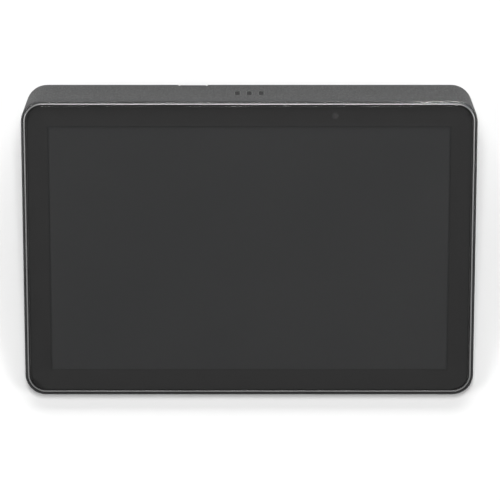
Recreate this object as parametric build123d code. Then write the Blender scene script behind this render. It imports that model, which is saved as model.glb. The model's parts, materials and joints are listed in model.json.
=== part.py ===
from build123d import *

import os
from math import cos, radians, sin, tan

# A wedge-shaped tabletop touch display for a meeting room, as an assembly of separate pieces.
#
# The row frame has +Z up, +X to the user's right and +Y away from the user. Its origin is on the
# table, under the middle of the footprint. All sizes are in millimetres.
#
# The body is a straight prism that stands at right angles to the screen and is cut off level just
# above the table. Pieces of the screen are placed in the face frame: u runs across the screen,
# v up the screen and n out of it. n = 0 is the housing's top edge, and u = v = 0 its middle.

# ---------------------------------------------------------------- driving dimensions
TILT = 14.0                  # the screen's slope, degrees
FACE_WIDTH = 246.0
FACE_LENGTH = 164.5
CORNER_RADIUS = 11.4
BACK_HEIGHT = 46.3           # the face's back edge above the table
FOOT_HEIGHT = 1.2            # how far the feet lift the underside

ACTIVE_WIDTH = 216.96        # the lit area of a 10.1 inch 16:10 panel
ACTIVE_LENGTH = 135.6
MODULE_WIDTH = 226.5         # the panel's metal tray
MODULE_LENGTH = 144.0
MODULE_V = -1.8              # the tray has a wider margin at its lower edge

WALL = 2.4                   # housing wall
LIP = 0.85                   # what is left of the wall beside the bezel frame
FRAME_OFFSET = 1.1           # from the face's edge to the bezel frame
FRAME_LIP = 1.1              # the frame's visible width
GLASS_OFFSET = 2.75          # from the face's edge to the glass
SLACK = 0.02                 # clearance of a piece that is pressed or glued in place
FILM_GAP = 0.05              # clearance between pieces that lie on each other
ROOT = 0.2                   # how far a lug, a rib or a shank runs into what it grows from
ABOVE = 1.0                  # how far a cut starts outside the surface that it opens
DEEP = 90.0                  # longer than any cut has to be

# Levels along n, from the top of the screen's stack down.
GLASS_TOP = -0.1
GLASS_BACK = -1.2
PRINT_BACK = -1.3
TOUCH_BACK = -1.7
TRAY_TOP = -1.75
LEDGE_TOP = -1.8
LEDGE_BACK = -3.3
TRAY_BACK = -4.25
LUG_BACK = -5.4
CHASSIS_BACK = -6.2

# Heights above the table.
PLATE_TOP = 3.2
BOARD_BOTTOM = 6.0
BOARD_TOP = 7.6
BAY_CEILING = 22.0

# ---------------------------------------------------------------- derived places
SLOPE_SIN = sin(radians(TILT))
SLOPE_COS = cos(radians(TILT))
BACK_LEAN = (BACK_HEIGHT - FOOT_HEIGHT) * tan(radians(TILT))
FACE_Y = -BACK_LEAN / 2
FACE_Z = BACK_HEIGHT - FACE_LENGTH * SLOPE_SIN / 2
FACE = Location((0, FACE_Y, FACE_Z), (TILT, 0, 0))
FACE_NORMAL = Axis((0, 0, 0), (0, -SLOPE_SIN, SLOPE_COS))
MODULE_TOP_V = MODULE_V + MODULE_LENGTH / 2
MODULE_BOTTOM_V = MODULE_V - MODULE_LENGTH / 2
BACK_WALL_V = FACE_LENGTH / 2 - WALL          # the back wall's inner side
SIDE_WALL_U = FACE_WIDTH / 2 - WALL           # a side wall's inner side

STANDING = (Align.CENTER, Align.CENTER, Align.MIN)
SIDES = (-1, 1)


# ---------------------------------------------------------------- small helpers
def block(x_size, y_size, z_size, x=0.0, y=0.0, z=0.0):
    """A box standing on z, centred on x and y."""
    return Pos(x, y, z) * Box(x_size, y_size, z_size, align=STANDING)


def post(radius, height, x=0.0, y=0.0, z=0.0):
    """A cylinder standing on z."""
    return Pos(x, y, z) * Cylinder(radius, height, align=STANDING)


def ring(outer, inner, height, x=0.0, y=0.0, z=0.0):
    """A tube standing on z."""
    return post(outer, height, x, y, z) - post(inner, height, x, y, z)


def rounded_block(x_size, y_size, z_size, radius, x=0.0, y=0.0, z=0.0):
    """A box standing on z, with its upright edges rounded."""
    return Pos(x, y, z) * extrude(RectangleRounded(x_size, y_size, radius), z_size)


def cross_recess(size, depth):
    """A cross-head driver's recess, cut upwards from z = 0."""
    return block(size, RECESS_WIDTH, depth) + block(RECESS_WIDTH, size, depth)


def along_y(shape):
    """Turns a shape that stands on z = 0 so that it points along +Y."""
    return Rot(-90, 0, 0) * shape


def on_face(shape, u=0.0, v=0.0, n=0.0):
    """Moves a shape from the face frame to the row frame."""
    return FACE * Pos(u, v, n) * shape


def face_point(v, n):
    """The row frame's y and z of a point in the face frame."""
    return (
        FACE_Y + v * SLOPE_COS - n * SLOPE_SIN,
        FACE_Z + v * SLOPE_SIN + n * SLOPE_COS,
    )


def sheet(width, length, top, bottom, radius=0.0, u=0.0, v=0.0):
    """A plate parallel to the screen between two n levels."""
    outline = RectangleRounded(width, length, radius) if radius else Rectangle(width, length)
    return on_face(extrude(outline, top - bottom), u, v, bottom)


def window(width, length, radius=0.0, v=0.0):
    """A cut at right angles to the screen, through everything."""
    return sheet(width, length, DEEP, -DEEP, radius, v=v)


def prism(offset, top=0.0, bottom=-DEEP):
    """The body's outline set in by offset from the face's edge, between two n levels."""
    return sheet(
        FACE_WIDTH - 2 * offset,
        FACE_LENGTH - 2 * offset,
        top,
        bottom,
        CORNER_RADIUS - offset,
    )


def face_hole(radius, u, v, top=DEEP, bottom=-DEEP):
    """A round hole or peg at right angles to the screen between two n levels."""
    return on_face(Cylinder(radius, top - bottom, align=STANDING), u, v, bottom)


def screen_side(shape):
    """The shape's highest face along n."""
    return shape.faces().sort_by(FACE_NORMAL)[-1]


def table_side(shape):
    """The shape's lowest face."""
    return shape.faces().sort_by(Axis.Z)[0]


def group(shapes):
    """Several separate solids as one node."""
    return Compound(children=[solid for shape in shapes for solid in shape.solids()])


def ribbon(points, width, thickness, x):
    """A flat strip, centred on x, whose path is drawn in the plane of y and z."""
    path = FilletPolyline(*points, radius=RIBBON_BEND)
    return Pos(x - width / 2, 0, 0) * extrude(Plane.YZ * trace(path, thickness), width)


def round_cable(points, radius):
    """A round cable through the points, with arcs as large as its runs allow."""
    runs = [Vector(*end) - Vector(*start) for start, end in zip(points, points[1:])]
    arcs = [
        ARC_SHARE * min(first.length, second.length) / tan(radians(first.get_angle(second)) / 2)
        for first, second in zip(runs, runs[1:])
    ]
    path = FilletPolyline(*points, radius=arcs)
    print(f"cable {path.length:.0f} mm long, arc radii", [round(arc, 1) for arc in arcs])
    return sweep(Plane(origin=path @ 0, z_dir=path % 0) * Circle(radius), path)


RECESS_WIDTH = 0.5           # of each arm of a cross recess
RECESS_SIZE = 2.4            # across the arms
RECESS_DEPTH = 0.7
RIBBON_BEND = 0.35
ARC_SHARE = 0.45             # an arc takes up to this share of the shorter run beside it

# ---------------------------------------------------------------- glass, ink and panel
GLASS_EDGE = 0.2             # chamfer round the glass
INK_INSET = 0.2
WINDOW_MARGIN = 0.3          # the ink's window is this much larger than the lit area
GASKET_TOP = -0.45           # the gasket lies a little below the glass's surface
TAPE_INSET = 0.5
TAPE_WIDTH = 2.6
FILM_MARGIN = 1.5            # films stop short of the tray's outside by these
CELL_MARGIN = 1.0
GUIDE_MARGIN = 0.8
CELL_THICKNESS = 1.2
GUIDE_THICKNESS = 0.9
TRAY_WALL = 0.5
TRAY_FLOOR = 0.3
TRAY_RADIUS = 0.8
FOAM_LENGTH = 200.0
FOAM_WIDTH = 8.0
FOAM_PLACES = (-40.0, 12.0, 60.0)

SENSOR_U = 46.4              # the light sensor looks out through the upper border
SENSOR_V = 73.9
SENSOR_RADIUS = 1.65


def cover_glass():
    glass = prism(GLASS_OFFSET, GLASS_TOP, GLASS_BACK)
    return chamfer(screen_side(glass).edges(), GLASS_EDGE)


def border_print():
    """The black ink on the back of the glass, with its window and sensor hole."""
    ink = prism(GLASS_OFFSET + INK_INSET, GLASS_BACK, PRINT_BACK)
    ink -= window(ACTIVE_WIDTH + 2 * WINDOW_MARGIN, ACTIVE_LENGTH + 2 * WINDOW_MARGIN, WINDOW_MARGIN)
    return ink - face_hole(SENSOR_RADIUS, SENSOR_U, SENSOR_V)


def glass_gasket():
    """Black rubber that fills the gap between the glass and the frame."""
    outside = FRAME_OFFSET + FRAME_LIP + SLACK
    inside = GLASS_OFFSET - SLACK
    return prism(outside, GASKET_TOP, LEDGE_TOP) - prism(inside)


def glass_tape():
    outside = GLASS_OFFSET + TAPE_INSET
    return prism(outside, PRINT_BACK, LEDGE_TOP) - prism(outside + TAPE_WIDTH)


def module_sheet(margin, top, thickness):
    """A plate that stops short of the tray's outside by a margin."""
    return sheet(
        MODULE_WIDTH - 2 * margin,
        MODULE_LENGTH - 2 * margin,
        top,
        top - thickness,
        v=MODULE_V,
    )


def touch_panel():
    """Sensor film, bonded up to the glass through the ink's window."""
    film = module_sheet(FILM_MARGIN, PRINT_BACK, PRINT_BACK - TOUCH_BACK)
    margin = WINDOW_MARGIN - FILM_GAP
    bond = sheet(
        ACTIVE_WIDTH + 2 * margin,
        ACTIVE_LENGTH + 2 * margin,
        GLASS_BACK,
        PRINT_BACK,
        margin,
    )
    return film + bond


def lcd_cell():
    return module_sheet(CELL_MARGIN, TRAY_TOP - FILM_GAP, CELL_THICKNESS)


def light_guide():
    return module_sheet(GUIDE_MARGIN, TRAY_BACK + TRAY_FLOOR + GUIDE_THICKNESS, GUIDE_THICKNESS)


def backlight_tray():
    tray = sheet(MODULE_WIDTH, MODULE_LENGTH, TRAY_TOP, TRAY_BACK, TRAY_RADIUS, v=MODULE_V)
    return tray - module_sheet(TRAY_WALL, TRAY_TOP, TRAY_TOP - TRAY_BACK - TRAY_FLOOR)


def display_foam():
    """Strips that hold the panel off the chassis."""
    return group(sheet(FOAM_LENGTH, FOAM_WIDTH, TRAY_BACK, LUG_BACK, v=v) for v in FOAM_PLACES)


# ---------------------------------------------------------------- panel electronics
DRIVER_LENGTH = 176.0
DRIVER_WIDTH = 8.0
DRIVER_V = -66.0
DRIVER_TOP = TRAY_BACK - FILM_GAP
DRIVER_THICKNESS = 0.5
DRIVER_CHIPS = (-72.0, 50.0, 74.0)
CHIP_LENGTH = 14.0
CHIP_WIDTH = 2.6

DISPLAY_FLEX_X = -25.0
DISPLAY_FLEX_WIDTH = 20.0
TOUCH_FLEX_X = 12.0
TOUCH_FLEX_WIDTH = 10.0
TOUCH_FLEX_THICKNESS = 0.15
FLEX_THICKNESS = 0.2
FLEX_TURN = 0.25             # how far outside the tray the touch flex turns
FLEX_DROP = 0.75             # and how far below the tray it turns back
FLEX_LOW = (-57.0, 5.5)      # y and z where the flexes hang lowest
FLEX_CLIMB = (-47.5, 8.3)

BOARD_LEFT, BOARD_RIGHT = -75.0, 65.0
BOARD_FRONT, BOARD_BACK = -42.0, 27.0
FLEX_END = (BOARD_FRONT + 1.5, FLEX_CLIMB[1])


def driver_board():
    """The panel's own strip of electronics, folded behind its lower edge."""
    bottom = DRIVER_TOP - DRIVER_THICKNESS
    board = sheet(DRIVER_LENGTH, DRIVER_WIDTH, DRIVER_TOP, bottom, v=DRIVER_V)
    chips = [
        sheet(CHIP_LENGTH, CHIP_WIDTH, bottom, bottom - DRIVER_THICKNESS, u=u, v=DRIVER_V)
        for u in DRIVER_CHIPS
    ]
    return group([board, *chips])


def display_flex():
    start = face_point(DRIVER_V, DRIVER_TOP - DRIVER_THICKNESS - FLEX_THICKNESS)
    points = [start, FLEX_LOW, FLEX_CLIMB, FLEX_END]
    return ribbon(points, DISPLAY_FLEX_WIDTH, FLEX_THICKNESS, DISPLAY_FLEX_X)


def touch_flex():
    """It leaves the film, turns round the tray's lower edge and runs back to the mainboard."""
    level = (PRINT_BACK + TOUCH_BACK) / 2
    turn = MODULE_BOTTOM_V - FLEX_TURN
    points = [
        face_point(MODULE_BOTTOM_V + FILM_MARGIN, level),
        face_point(turn, level),
        face_point(turn, TRAY_BACK - FLEX_DROP),
        FLEX_LOW,
        FLEX_CLIMB,
        FLEX_END,
    ]
    return ribbon(points, TOUCH_FLEX_WIDTH, TOUCH_FLEX_THICKNESS, TOUCH_FLEX_X)


LENS_LENGTH = 1.9
LENS_DIMPLE_RADIUS = 0.5
LENS_DIMPLE_DEPTH = 0.4
SENSOR_BOARD_TOP = LEDGE_BACK - 0.7
SENSOR_BOARD_THICKNESS = 0.8
SENSOR_BOARD_WIDTH, SENSOR_BOARD_LENGTH = 14.0, 6.0
SENSOR_BOARD_RADIUS = 0.5
SENSOR_BOARD_V = SENSOR_V + 0.6
SENSOR_CHIP_SIZE = 2.0


def light_sensor_lens():
    """A light pipe with a small dimple, under the hole in the ink."""
    pipe_radius = SENSOR_RADIUS - FILM_GAP
    pipe = face_hole(pipe_radius, SENSOR_U, SENSOR_V, GLASS_BACK, GLASS_BACK - LENS_LENGTH)
    return pipe - face_hole(
        LENS_DIMPLE_RADIUS, SENSOR_U, SENSOR_V, GLASS_BACK, GLASS_BACK - LENS_DIMPLE_DEPTH
    )


def light_sensor_board():
    board = sheet(
        SENSOR_BOARD_WIDTH,
        SENSOR_BOARD_LENGTH,
        SENSOR_BOARD_TOP,
        SENSOR_BOARD_TOP - SENSOR_BOARD_THICKNESS,
        SENSOR_BOARD_RADIUS,
        SENSOR_U,
        SENSOR_BOARD_V,
    )
    chip = sheet(
        SENSOR_CHIP_SIZE, SENSOR_CHIP_SIZE, LEDGE_BACK, SENSOR_BOARD_TOP, u=SENSOR_U, v=SENSOR_V
    )
    return group([board, chip])


# ---------------------------------------------------------------- bezel frame, chassis and lugs
FRAME_SHOULDER = 0.95        # rounding of the frame's outer edge, which is most of what shows
FRAME_INNER_EDGE = 0.1
TRAY_GAP = 0.5               # between the tray and the frame round it
LUG_LENGTH = 8.0
LUG_SIDE_GAP = 0.4           # between a side lug and the tray
LUG_BACK_GAP = 0.8           # between a back lug and the tray
SIDE_LUG_U = 117.2
BACK_LUG_V = 75.5
LUG_POINTS = [(side * SIDE_LUG_U, v) for side in SIDES for v in (-40.0, 3.0, 46.0)]
LUG_POINTS += [(u, BACK_LUG_V) for u in (-80.0, 0.0, 80.0)]
SCREW_HOLE_RADIUS = 1.15
FRAME_HOLE_RADIUS = 1.0
FRAME_HOLE_DEPTH = 1.2
DISPLAY_SCREW_TIP_GAP = 0.2
DISPLAY_HEAD_RADIUS = 1.9
DISPLAY_HEAD_HEIGHT = 1.1
DISPLAY_RECESS_SIZE = 1.8
DISPLAY_RECESS_DEPTH = 0.6

CHASSIS_WIDTH = 240.0
CHASSIS_FRONT, CHASSIS_END = -46.0, 79.0
CHASSIS_RADIUS = 7.0
RIB_PLACES = (-34.0, 8.0, 54.0)
RIB_LENGTH = 196.0
RIB_SIZE = 1.2
RIB_RADIUS = 0.5
POCKET_WIDTH = 34.0
POCKET_RADIUS = 4.0
POCKET_COLUMNS = (-84.0, -28.0, 28.0, 84.0)
POCKET_ROWS = ((-14.0, 30.0), (36.0, 22.0))   # v and length


def bezel_frame():
    """The slim frame round the glass. Its ledge carries the glass on the tape."""
    frame = prism(FRAME_OFFSET, 0, LEDGE_BACK) - prism(FRAME_OFFSET + FRAME_LIP, ABOVE, LEDGE_TOP)
    frame = fillet(screen_side(frame).outer_wire().edges(), FRAME_SHOULDER)
    frame = fillet(screen_side(frame).inner_wires()[0].edges(), FRAME_INNER_EDGE)
    frame -= window(MODULE_WIDTH + 2 * TRAY_GAP, MODULE_LENGTH + 2 * TRAY_GAP, TRAY_RADIUS, v=MODULE_V)
    frame -= face_hole(SENSOR_RADIUS + 2 * FILM_GAP, SENSOR_U, SENSOR_V)
    for u, v in LUG_POINTS:
        frame -= face_hole(FRAME_HOLE_RADIUS, u, v, LEDGE_BACK + FRAME_HOLE_DEPTH, LEDGE_BACK)
    return frame


def housing_lug(u, v):
    """A tab on the housing's wall that the bezel frame and the chassis are screwed to."""
    on_side = abs(u) == SIDE_LUG_U
    outer = (SIDE_WALL_U if on_side else BACK_WALL_V) + ROOT
    inner = MODULE_WIDTH / 2 + LUG_SIDE_GAP if on_side else MODULE_TOP_V + LUG_BACK_GAP
    reach = outer - inner
    middle = (outer + inner) / 2
    if on_side:
        lug = sheet(reach, LUG_LENGTH, LEDGE_BACK, LUG_BACK, u=middle * u / abs(u), v=v)
    else:
        lug = sheet(LUG_LENGTH, reach, LEDGE_BACK, LUG_BACK, u=u, v=middle)
    return lug - face_hole(SCREW_HOLE_RADIUS, u, v)


def mid_chassis():
    """Steel sheet behind the panel, with folded stiffening ribs and lightening pockets."""
    plate = sheet(
        CHASSIS_WIDTH,
        CHASSIS_END - CHASSIS_FRONT,
        LUG_BACK,
        CHASSIS_BACK,
        CHASSIS_RADIUS,
        v=(CHASSIS_FRONT + CHASSIS_END) / 2,
    )
    for u in POCKET_COLUMNS:
        for v, length in POCKET_ROWS:
            plate -= sheet(POCKET_WIDTH, length, DEEP, -DEEP, POCKET_RADIUS, u=u, v=v)
    for v in RIB_PLACES:
        plate += sheet(RIB_LENGTH, RIB_SIZE, CHASSIS_BACK, CHASSIS_BACK - RIB_SIZE, RIB_RADIUS, v=v)
    for u, v in LUG_POINTS:
        plate -= face_hole(SCREW_HOLE_RADIUS, u, v)
    return plate


def display_screws():
    """They clamp the chassis and the housing's lugs to the bezel frame."""
    shank_end = LEDGE_BACK + FRAME_HOLE_DEPTH - DISPLAY_SCREW_TIP_GAP
    screw = post(FRAME_HOLE_RADIUS - 2 * SLACK, shank_end - CHASSIS_BACK)
    screw += post(DISPLAY_HEAD_RADIUS, DISPLAY_HEAD_HEIGHT, z=-DISPLAY_HEAD_HEIGHT)
    recess = cross_recess(DISPLAY_RECESS_SIZE, DISPLAY_RECESS_DEPTH)
    screw -= Pos(0, 0, -DISPLAY_HEAD_HEIGHT) * recess
    return group(on_face(screw, u, v, CHASSIS_BACK) for u, v in LUG_POINTS)


# ---------------------------------------------------------------- housing
TOP_EDGE = 0.7               # rounding of the housing's top edge
BOTTOM_EDGE = 0.6

EXIT_X = -31.0               # where the cables leave under the back wall
EXIT_WIDTH = 16.0
EXIT_TOP = 5.7
EXIT_RADIUS = 2.2
EXIT_START = 70.0            # y, inside the back wall
EXIT_REACH = 24.0

LOCK_Y = 48.0                # security slot in the right wall
LOCK_Z = 21.0
LOCK_LENGTH = 7.0
LOCK_HEIGHT = 3.0
LOCK_PLATE_THICKNESS = 1.5
LOCK_PLATE_LENGTH = 20.0
LOCK_PLATE_HEIGHT = 13.0
LOCK_PLATE_EXTRA = 0.2       # how much larger the steel's slot is than the plastic's

MARK_WIDTH = 2.8
MARK_HEIGHT = 10.5
MARK_DEPTH = 0.5
MARK_N = -22.0
MARK_PLACES = (-6.5, 0.0, 6.5)

BASE_SCREW_X = 107.0
BASE_SCREWS = ((-60.0, 7.5), (12.0, 13.0), (73.0, 17.0))   # y, and the top of the boss
BASE_BOSS_RADIUS = 3.4
BASE_BOSS_BOTTOM = PLATE_TOP + 0.05
BASE_HOLE_DEPTH = 4.0
BASE_RIB = 1.6


def cable_exit():
    """The arch in the back wall's lower edge."""
    arch = extrude(RectangleRounded(EXIT_WIDTH, 2 * EXIT_TOP, EXIT_RADIUS), EXIT_REACH)
    return Pos(EXIT_X, EXIT_START, 0) * along_y(arch)


def lock_slot(reach, grow=0.0):
    """The rounded slot that a cable lock turns in, cut both ways from the wall's outside."""
    slot = SlotOverall(LOCK_LENGTH + grow, LOCK_HEIGHT + grow, rotation=90)
    return Pos(FACE_WIDTH / 2, LOCK_Y, LOCK_Z) * Rot(0, 90, 0) * extrude(slot, reach, both=True)


def mark_bar(u, gap):
    """An upright bar with round ends, let into the back wall half way up."""
    slot = SlotOverall(MARK_HEIGHT - 2 * gap, MARK_WIDTH - 2 * gap, rotation=90)
    return on_face(Rot(90, 0, 0) * extrude(slot, MARK_DEPTH), u, FACE_LENGTH / 2, MARK_N)


def base_boss(side, y, top):
    """A screw boss with a rib that ties it to the side wall."""
    x = side * BASE_SCREW_X
    height = top - BASE_BOSS_BOTTOM
    reach = SIDE_WALL_U + ROOT - BASE_SCREW_X
    boss = post(BASE_BOSS_RADIUS, height, x, y, BASE_BOSS_BOTTOM)
    boss += block(reach, BASE_RIB, height, x + side * reach / 2, y, BASE_BOSS_BOTTOM)
    return boss - post(SCREW_HOLE_RADIUS, BASE_HOLE_DEPTH, x, y, BASE_BOSS_BOTTOM)


def wedge_housing():
    body = prism(0) - block(2 * FACE_WIDTH, 2 * FACE_WIDTH, DEEP, z=FOOT_HEIGHT - DEEP)
    body = fillet(screen_side(body).edges(), TOP_EDGE)
    body = fillet(table_side(body).edges(), BOTTOM_EDGE)
    body -= prism(LIP, ABOVE, LEDGE_BACK)
    body -= prism(WALL, ABOVE)
    for u, v in LUG_POINTS:
        body += housing_lug(u, v)
    for side in SIDES:
        for y, top in BASE_SCREWS:
            body += base_boss(side, y, top)
    body -= cable_exit()
    body -= lock_slot(2 * WALL)
    for u in MARK_PLACES:
        body -= mark_bar(u, 0)
    return body


def rear_mark():
    """Three plain bars set flush into the back wall."""
    return group(mark_bar(u, SLACK) & prism(SLACK) for u in MARK_PLACES)


def lock_plate():
    """Steel behind the plastic slot."""
    x = SIDE_WALL_U - FILM_GAP - LOCK_PLATE_THICKNESS / 2
    plate = Pos(x, LOCK_Y, LOCK_Z) * Box(LOCK_PLATE_THICKNESS, LOCK_PLATE_LENGTH, LOCK_PLATE_HEIGHT)
    return plate - lock_slot(4 * WALL, LOCK_PLATE_EXTRA)


# ---------------------------------------------------------------- base plate
PLATE_GAP = 0.2              # between the plate's edge and the housing
BAY_HALF_WIDTH = 43.0
BAY_FRONT, BAY_BACK = 30.0, 72.0
BAY_MIDDLE = (BAY_FRONT + BAY_BACK) / 2
BAY_WALL = 2.0
DOOR_LEDGE = 2.0             # how far the door overlaps the bay's walls
DOOR_RECESS_TOP = 3.0
CHANNEL_WIDTH = 15.4
CHANNEL_TOP = 9.0
CHANNEL_WALL = 1.6
CHANNEL_START = BAY_BACK - 1.0
CHANNEL_LENGTH = 14.0

MOUNT_PITCH = 100.0          # square of four M4 inserts
MOUNT_POINTS = [(x * MOUNT_PITCH / 2, y * MOUNT_PITCH / 2) for x in SIDES for y in SIDES]
MOUNT_BORE_RADIUS = 2.05
MOUNT_INSERT_RADIUS = 3.0
MOUNT_INSERT_BOTTOM = 1.6
MOUNT_INSERT_TOP = 7.2
MOUNT_BOSS_RADIUS = 4.4
MOUNT_BOSS_TOP = 8.3
MOUNT_GROOVE_DEPTH = 0.35
MOUNT_GROOVE_WIDTH = 1.0
MOUNT_GROOVE_PLACE = 0.4     # share of the insert's height below its groove

BOARD_HOLE_INSET = 5.0
BOARD_HOLES = [
    (x, y)
    for x in (BOARD_LEFT + BOARD_HOLE_INSET, BOARD_RIGHT - BOARD_HOLE_INSET)
    for y in (BOARD_FRONT + BOARD_HOLE_INSET, BOARD_BACK - BOARD_HOLE_INSET)
]
STANDOFF_RADIUS = 2.6
STANDOFF_HOLE_RADIUS = 1.25
STANDOFF_HOLE_DEPTH = 4.0

SEAT_RADIUS = 2.7            # of the countersink for a base screw
SEAT_DEPTH = 1.3
SEAT_HOLE_RADIUS = 1.35
SEAT_HOLE_DEPTH = 4.0
BASE_SCREW_RADIUS = 1.1
BASE_SCREW_LENGTH = 5.2
BASE_SCREW_SINK = 0.15       # how far its head lies below the plate's surface
BASE_HEAD_RADIUS = 2.4
BASE_HEAD_HEIGHT = 1.25

VENT_COUNT = 10
VENT_PITCH = 5.5
VENT_WIDTH = 1.8
VENT_LENGTH = 24.0
VENT_Y = -10.0

FOOT_WIDTH = 6.5
FOOT_GROOVE = 0.8
FOOT_EDGE = 0.4
FOOT_GAP = 0.15              # between a strip and the wall of its groove
FOOT_STRIPS = (               # x, y, size along x, size along y
    (0.0, -76.5, 190.0, FOOT_WIDTH),
    (-114.5, -5.0, FOOT_WIDTH, 110.0),
    (114.5, -5.0, FOOT_WIDTH, 110.0),
    (-70.5, 77.0, 50.0, FOOT_WIDTH),
    (38.0, 77.0, 115.0, FOOT_WIDTH),
)


def bay_box(grow, bottom, top):
    width = 2 * (BAY_HALF_WIDTH + grow)
    length = BAY_BACK - BAY_FRONT + 2 * grow
    return block(width, length, top - bottom, 0, BAY_MIDDLE, bottom)


def channel_box(grow, bottom, top):
    """The passage from the bay to the back wall."""
    middle = CHANNEL_START + CHANNEL_LENGTH / 2
    return block(CHANNEL_WIDTH + 2 * grow, CHANNEL_LENGTH, top - bottom, EXIT_X, middle, bottom)


def base_screw_seat(x, y):
    """A countersunk hole through the plate."""
    seat = Cone(SEAT_RADIUS, SEAT_HOLE_RADIUS, SEAT_DEPTH, align=STANDING)
    return Pos(x, y, FOOT_HEIGHT) * (seat + post(SEAT_HOLE_RADIUS, SEAT_HOLE_DEPTH))


def base_plate():
    """The underside: a plate with the cable bay, the bosses and the board's standoffs."""
    inside = prism(WALL + PLATE_GAP)
    plate = inside & block(FACE_WIDTH, 2 * FACE_LENGTH, PLATE_TOP - FOOT_HEIGHT, z=FOOT_HEIGHT)
    plate += bay_box(BAY_WALL, FOOT_HEIGHT, BAY_CEILING + BAY_WALL)
    plate += bay_box(BAY_WALL + DOOR_LEDGE, FOOT_HEIGHT, DOOR_RECESS_TOP + BAY_WALL)
    plate += channel_box(CHANNEL_WALL, FOOT_HEIGHT, CHANNEL_TOP + CHANNEL_WALL) & inside
    for x, y in MOUNT_POINTS:
        plate += post(MOUNT_BOSS_RADIUS, MOUNT_BOSS_TOP - FOOT_HEIGHT, x, y, FOOT_HEIGHT)
    for x, y in BOARD_HOLES:
        plate += post(STANDOFF_RADIUS, BOARD_BOTTOM - FOOT_HEIGHT, x, y, FOOT_HEIGHT)
    plate -= bay_box(0, 0, BAY_CEILING)
    plate -= bay_box(DOOR_LEDGE, 0, DOOR_RECESS_TOP)
    plate -= channel_box(0, 0, CHANNEL_TOP)
    plate += bay_columns()
    plate -= port_cutouts()
    for x, y in MOUNT_POINTS:
        plate -= post(MOUNT_INSERT_RADIUS, MOUNT_INSERT_TOP, x, y)
    for x, y in BOARD_HOLES:
        hole_bottom = BOARD_BOTTOM - STANDOFF_HOLE_DEPTH
        plate -= post(STANDOFF_HOLE_RADIUS, STANDOFF_HOLE_DEPTH, x, y, hole_bottom)
    for side in SIDES:
        for y, _ in BASE_SCREWS:
            plate -= base_screw_seat(side * BASE_SCREW_X, y)
    for i in range(VENT_COUNT):
        x = (i - (VENT_COUNT - 1) / 2) * VENT_PITCH
        plate -= rounded_block(VENT_WIDTH, VENT_LENGTH, DEEP, VENT_WIDTH / 2 - SLACK, x, VENT_Y, -DEEP / 2)
    return plate - group(foot_strip(*strip, gap=FOOT_GAP) for strip in FOOT_STRIPS)


def foot_strip(x, y, x_size, y_size, gap=0.0):
    """One rubber strip. It fills a groove in the plate."""
    radius = FOOT_WIDTH / 2 + gap - SLACK
    height = FOOT_HEIGHT + FOOT_GROOVE
    return rounded_block(x_size + 2 * gap, y_size + 2 * gap, height, radius, x, y)


def foot_strips():
    strips = [foot_strip(*strip) for strip in FOOT_STRIPS]
    return group(fillet(table_side(strip).edges(), FOOT_EDGE) for strip in strips)


def base_screws():
    """Countersunk screws that hold the plate to the housing's bosses."""
    screw = Cone(BASE_HEAD_RADIUS, BASE_SCREW_RADIUS, BASE_HEAD_HEIGHT, align=STANDING)
    screw += post(BASE_SCREW_RADIUS, BASE_SCREW_LENGTH, z=ROOT)
    screw -= cross_recess(RECESS_SIZE, RECESS_DEPTH)
    bottom = FOOT_HEIGHT + BASE_SCREW_SINK
    places = [(side * BASE_SCREW_X, y) for side in SIDES for y, _ in BASE_SCREWS]
    return group(Pos(x, y, bottom) * screw for x, y in places)


def mount_inserts():
    """Brass inserts, each with one groove round its outside."""
    height = MOUNT_INSERT_TOP - MOUNT_INSERT_BOTTOM
    inserts = []
    for x, y in MOUNT_POINTS:
        insert = ring(MOUNT_INSERT_RADIUS - SLACK, MOUNT_BORE_RADIUS, height, x, y, MOUNT_INSERT_BOTTOM)
        bottom = MOUNT_INSERT_BOTTOM + MOUNT_GROOVE_PLACE * height
        inner = MOUNT_INSERT_RADIUS - MOUNT_GROOVE_DEPTH
        inserts.append(insert - ring(MOUNT_INSERT_RADIUS, inner, MOUNT_GROOVE_WIDTH, x, y, bottom))
    return group(inserts)


# ---------------------------------------------------------------- cable bay
DOOR_GAP = 0.3
DOOR_THICKNESS = 1.7
DOOR_INSIDE = FOOT_HEIGHT + DOOR_THICKNESS
DOOR_CORNER = 0.8
DOOR_RIBS = (-10.0, 0.0, 10.0)
DOOR_RIB_X = 2.0
DOOR_RIB_LENGTH = 40.0
DOOR_RIB_WIDTH = 1.2
DOOR_RIB_HEIGHT = 1.0
DOOR_CUP_RADIUS = 4.0
DOOR_CUP_WALL = 0.9
DOOR_CUP_FLOOR = FOOT_HEIGHT + 1.8
DOOR_CUP_TOP = DOOR_INSIDE + 1.4
DOOR_SCREWS = {"left": (-37.5, 37.0), "right": (37.5, 64.0)}
DOOR_SCREW_RADIUS = 1.45
DOOR_BORE_RADIUS = 1.5
DOOR_COLUMN_BOTTOM = 4.6
DOOR_COLUMN_RADIUS = 3.6
DOOR_INSERT_RADIUS = 2.3
DOOR_INSERT_LENGTH = 6.5
DOOR_HOLE_DEPTH = 8.0
DOOR_SCREW_PLAY = 0.15       # round a screw in the door
DOOR_SCREW_SINK = 0.1        # how far its head lies below the door's surface
DOOR_SCREW_LENGTH = 9.0
DOOR_HEAD_GAP = 0.2
DOOR_HEAD_HEIGHT = 1.6
DOOR_HEAD_CHAMFER = 0.3
COIN_SLOT_LENGTH = 6.4
COIN_SLOT_WIDTH = 1.1
COIN_SLOT_DEPTH = 0.9
INSERT_SINK = 0.2            # how far an insert lies inside its column
COLUMN_ROOT = 1.0            # how far a column runs into the bay's roof
SCOOP_RADIUS = 6.5
SCOOP_SHIFT = 1.5            # from the door's edge to the scoop's middle
TONGUE_BOTTOM, TONGUE_TOP = 0.4, 1.4   # it hangs below the door to leave the cables room
TONGUE_ROOT = 3.4            # length of its thicker end, under the door
TONGUE_END = 85.1            # y, just inside the back wall's outer face
TONGUE_CORNER = 0.6
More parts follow.
